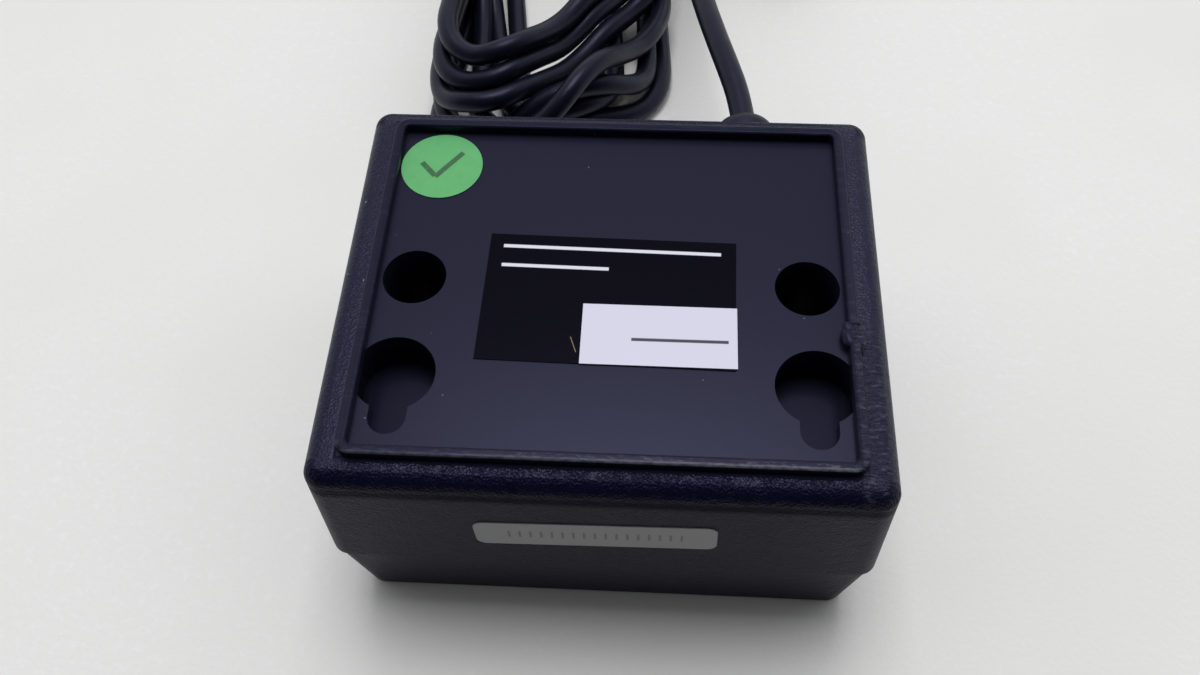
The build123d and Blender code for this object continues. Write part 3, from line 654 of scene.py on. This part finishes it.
plate_finish = metal("nickel_plate", (0.70, 0.70, 0.72), 0.22, 0.005, 0.24, 0.32, detail=2.0)
core_finish = uneven("plug_insulator", (0.02, 0.02, 0.02), 0.5, 0.0003, 0.00001)
pin_finish = metal("gold_flash", (0.75, 0.60, 0.30), 0.25, 0.0005, 0.2, 0.35)
plug_sleeve = fit(smooth_copy("plug_sleeve", "plug_shell"), plate_finish, "plug_steel", "plug_shell")
plug_core = fit(smooth_copy("plug_insulator", "plug_core"), core_finish, "plug_insulator", "plug_core")
plug_pins = fit(smooth_copy("plug_pin_set", "plug_pins"), pin_finish, "pin_brass", "plug_pins")

# The cord: 1.8 m of round vinyl-sheathed lead, 3.4 mm thick and limp. It comes out of the grip, is wound
# loosely by hand into a hank behind the case, and its tail ends in the plug.
cord_diameter = 0.0034
point_spacing = 0.005
tightest_rise = 3.5         # in diameters: the least radius where a turn goes over what lies under it
own_stretch = 3             # in diameters: nearer than this along the cord, it can't lie on itself
lift_share = 0.9
lead = [(0.0164, 0.0386, 0.0247), (0.0150, 0.0438, 0.0250), (0.0132, 0.0504, 0.0249),
        (0.0114, 0.0582, 0.0244), (0.0100, 0.0670, 0.0229), (0.0094, 0.0765, 0.0202),
        (0.0100, 0.0860, 0.0166), (0.0110, 0.0950, 0.0126), (0.0114, 0.1035, 0.0088),
        (0.0106, 0.1115, 0.0059), (0.0084, 0.1190, 0.0042), (0.0046, 0.1255, 0.0036)]
tail = [(0.0010, 0.1180, 0.0134), (0.0015, 0.1304, 0.0122), (0.0022, 0.1412, 0.0106),
        (0.0095, 0.1485, 0.0078), (0.0199, 0.1485, 0.0050), (0.0272, 0.1412, 0.0044),
        (0.0272, 0.1310, 0.0058)]
cord_exit = (0.0170, 0.03339, 0.02460)
hank_turns = "mwywnuuu"     # each letter is one turn: its kind says which two or three pegs it goes round
hank_seed = 20100


def hank_pegs(turns, seed):
    """Upright pegs, as x, y and radius, that a hand winding the cord would take it round."""
    draw = random.Random(seed)
    pegs = [(0.0046, 0.1255, 0.0), (-0.0098, 0.1165, 0.0160)]
    for i, kind in enumerate(turns):
        n = turns[:i].count(kind)
        # Each peg is its x, y and radius, and after each of them how far it may be off.
        ends = {
            "m": [(-0.0140, 0.0030, 0.0595 + 0.0040 * n, 0.0020, 0.0070, 0.0005),
                  (-0.0140, 0.0030, 0.1160, 0.0040, 0.0100, 0.0020)],
            "y": [(-0.0092, 0.0028, 0.0620 + 0.0040 * n, 0.0020, 0.0088, 0.0006),
                  (-0.0190, 0.0030, 0.1165, 0.0035, 0.0115, 0.0015)],
            "w": [(-0.0242 + 0.0018 * n, 0.0006, 0.0540 + 0.0015 * n, 0.0008, 0.0080, 0.0),
                  (-0.0056 - 0.0014 * n, 0.0006, 0.0640 + 0.0020 * n, 0.0015, 0.0112 - 0.0007 * n, 0.0),
                  (-0.0135, 0.0020, 0.1175, 0.0020, 0.0160 - 0.0016 * n, 0.0012)],
            "n": [(-0.0165 + 0.0006 * n, 0.0008, 0.0535 + 0.0010 * n, 0.0008, 0.0080, 0.0003),
                  (-0.0045 - 0.0006 * n, 0.0008, 0.0750 + 0.0030 * n, 0.0020, 0.0106 - 0.0006 * n, 0.0006),
                  (-0.0135, 0.0020, 0.1165, 0.0020, 0.0150 - 0.0012 * n, 0.0012)],
            "u": [(-0.0236 + 0.0006 * n, 0.0006, 0.0570 + 0.0030 * n, 0.0008, 0.0078 - 0.0003 * n, 0.0003),
                  (-0.0075 - 0.0004 * n, 0.0008, 0.0830 + 0.0030 * n, 0.0020, 0.0116 - 0.0006 * n, 0.0006),
                  (-0.0135, 0.0020, 0.1160, 0.0025, 0.0140 - 0.0012 * n, 0.0012)],
        }[kind]
        for x, x_spread, y, y_spread, r, r_spread in ends:
            pegs.append(tuple(middle + (draw.uniform(-spread, spread) if spread else 0.0)
                              for middle, spread in ((x, x_spread), (y, y_spread), (r, r_spread))))
    pegs[-1] = (0.0002, 0.1080, 0.0)
    return pegs


def wound(pegs, spacing):
    """Points about one spacing apart on a line wound counterclockwise round the pegs."""
    leaving = []
    for (x, y, r), (x_next, y_next, r_next) in zip(pegs, pegs[1:]):
        span = hypot(x_next - x, y_next - y)
        leaving.append(atan2(y_next - y, x_next - x) - acos((r - r_next) / span))
    contacts = []
    for i, (x, y, r) in enumerate(pegs):
        first = leaving[i - 1] if i else leaving[0]
        last = leaving[i] if i < len(leaving) else first
        turn = (last - first) % tau
        count = max(1, round(turn * r / spacing)) if r else 0
        angles = [first + turn * k / max(count, 1) for k in range(count + 1)]
        contacts.append([(x + r * cos(angle), y + r * sin(angle)) for angle in angles])
    points = list(contacts[0])
    for arc in contacts[1:]:
        x, y = points[-1]
        x_next, y_next = arc[0]
        count = max(1, round(hypot(x_next - x, y_next - y) / spacing))
        points += [(x + (x_next - x) * k / count, y + (y_next - y) * k / count) for k in range(1, count)]
        points += arc
    return points


def spline_shares(count, per):
    """How much each control point counts at each of the places along a quadratic spline, per a span."""
    shares = np.zeros(((count - 2) * per + 1, count))
    for row in range(len(shares) - 1):
        i, t = 1 + row // per, row % per / per
        before, here, after = (1 - t) ** 2, 2 * t * (1 - t), t * t
        from_first = 1.0 if i == 1 else 0.5
        from_last = 1.0 if i == count - 2 else 0.5
        shares[row, i - 1] += before * from_first
        shares[row, i] += before * (1 - from_first) + here + after * (1 - from_last)
        shares[row, i + 1] += after * from_last
    shares[-1, -1] = 1
    return shares


def laid(plan, lowest, per=4, passes=160):
    """Heights for the control points at which each stretch of cord rests on what was laid before it.

    Each pass lifts the cord by most of what it sinks into the turns below, then spreads bends that are too
    tight over their neighbours.
    """
    shares = spline_shares(len(plan), per)
    line = shares @ np.array(plan)
    along = np.concatenate([[0], np.cumsum(np.linalg.norm(np.diff(line, axis=0), axis=1))])
    over, under, rise = [], [], []
    for i in range(len(line)):
        earlier = np.nonzero(along < along[i] - own_stretch * cord_diameter)[0]
        apart = np.linalg.norm(line[earlier] - line[i], axis=1)
        close = apart < cord_diameter
        over += [i] * int(close.sum())
        under += list(earlier[close])
        rise += list(np.sqrt(cord_diameter ** 2 - apart[close] ** 2))
    over, under, rise = np.array(over), np.array(under), np.array(rise)
    height = np.array(lowest, float)
    most_bend = point_spacing ** 2 / (tightest_rise * cord_diameter)
    for _ in range(passes):
        fine = shares @ height
        lift = np.zeros(len(line))
        np.maximum.at(lift, over, fine[under] + rise - fine[over])
        height += lift_share * (shares * lift[:, None]).max(axis=0)
        bend = height[:-2] - 2 * height[1:-1] + height[2:]
        peak = np.maximum(-most_bend - bend, 0) / 4
        left_is_lower = height[:-2] < height[2:]
        height[1:-1] += np.maximum(bend - most_bend, 0) / 4
        height[:-2] += peak * left_is_lower
        height[2:] += peak * ~left_is_lower
    return height


turns = wound(hank_pegs(hank_turns, hank_seed), point_spacing)[1:]
plan = [point[:2] for point in lead] + turns + [point[:2] for point in tail]
resting = [cord_diameter / 2] * (len(turns) + 1)
lowest = [point[2] for point in lead] + resting + [point[2] for point in tail[1:]]
heights = laid(plan, lowest)
route = [cord_exit] + [(x, y, float(z)) for (x, y), z in zip(plan, heights)]

cord_curve = bpy.data.curves.new("cord_lead", "CURVE")
cord_curve.dimensions = "3D"
cord_curve.resolution_u = 4
cord_curve.bevel_depth = cord_diameter / 2
cord_curve.bevel_resolution = 5
cord_curve.use_fill_caps = True
spline = cord_curve.splines.new("NURBS")
spline.points.add(len(route) - 1)
for point, place in zip(spline.points, route):
    point.co = (*place, 1)
spline.order_u = 3
spline.use_endpoint_u = True
cord = bpy.data.objects.new("cord_lead", cord_curve)
bpy.context.collection.objects.link(cord)
cord_finish, tree, shader = new_finish("cord_vinyl", vinyl_colour, 0.36, specular=0.26,
                                       specular_tint=case_tint)
place = object_place(tree)
paint(tree, shader, Roughness=between(tree, noise(tree, place, 0.004), 0.3, 0.7, 0.32, 0.42),
      Normal=bump(tree, noise(tree, place, 0.0015), 0.00004))
cord_curve.materials.append(cord_finish)
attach(cord, "root")
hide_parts("cord", "cord_hank")
